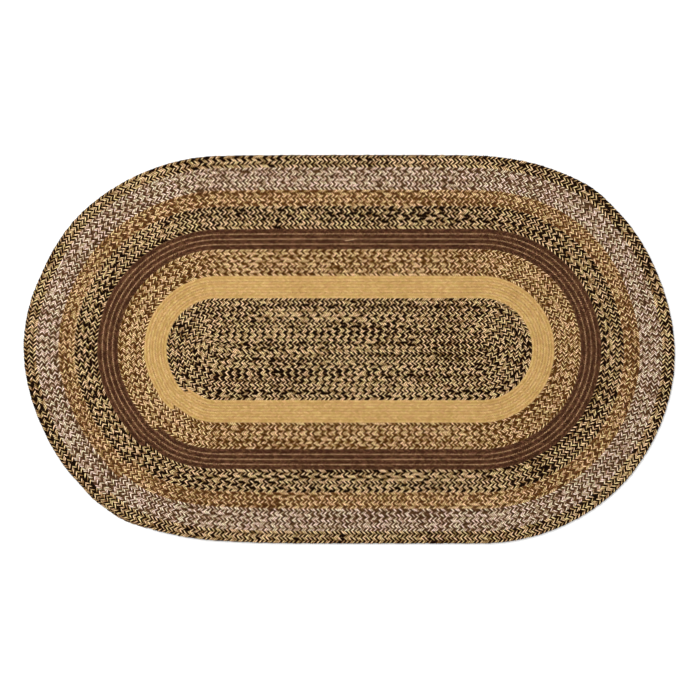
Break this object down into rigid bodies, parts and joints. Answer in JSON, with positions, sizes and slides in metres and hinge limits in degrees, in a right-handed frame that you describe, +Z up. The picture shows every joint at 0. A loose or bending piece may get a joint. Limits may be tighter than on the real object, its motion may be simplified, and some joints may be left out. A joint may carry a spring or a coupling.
{
  "type": "braided rug",
  "caption": "Flat oval rug of narrow braid coiled in a spiral and sewn edge to edge, with ridged rows and the braid's tapered end at the rim.",
  "frame": {"origin": "on the floor under the middle of the oval", "axes": "+Z up out of the rug's face, +X along the long axis, +Y across it; the braid winds counter-clockwise seen from above and ends at the rim at -X -Y"},
  "size_m": [1.5214, 0.908, 0.008],
  "materials": {
    "centre_braid": "black and golden tan plant fibre yarns braided together, matt",
    "tan_braid": "plain golden tan plant fibre braid, slightly silky",
    "brown_tan_braid": "brown and golden tan yarns braided together, matt",
    "dark_brown_braid": "plain dark brown braid sewn with light thread, matt",
    "black_tan_braid": "black and golden tan yarns braided together, matt",
    "tan_brown_braid": "golden tan and mid brown yarns braided together, matt",
    "taupe_braid": "cream and dark brown yarns braided together, matt",
    "edge_braid": "black and golden tan yarns braided together, matt"
  },
  "bodies": {
    "root": {"centre_braid": "centre_braid", "tan_braid": "tan_braid", "brown_tan_braid": "brown_tan_braid", "dark_brown_braid": "dark_brown_braid", "black_tan_braid": "black_tan_braid", "tan_brown_braid": "tan_brown_braid", "taupe_braid": "taupe_braid", "edge_braid": "edge_braid"}
  },
  "joints": []
}
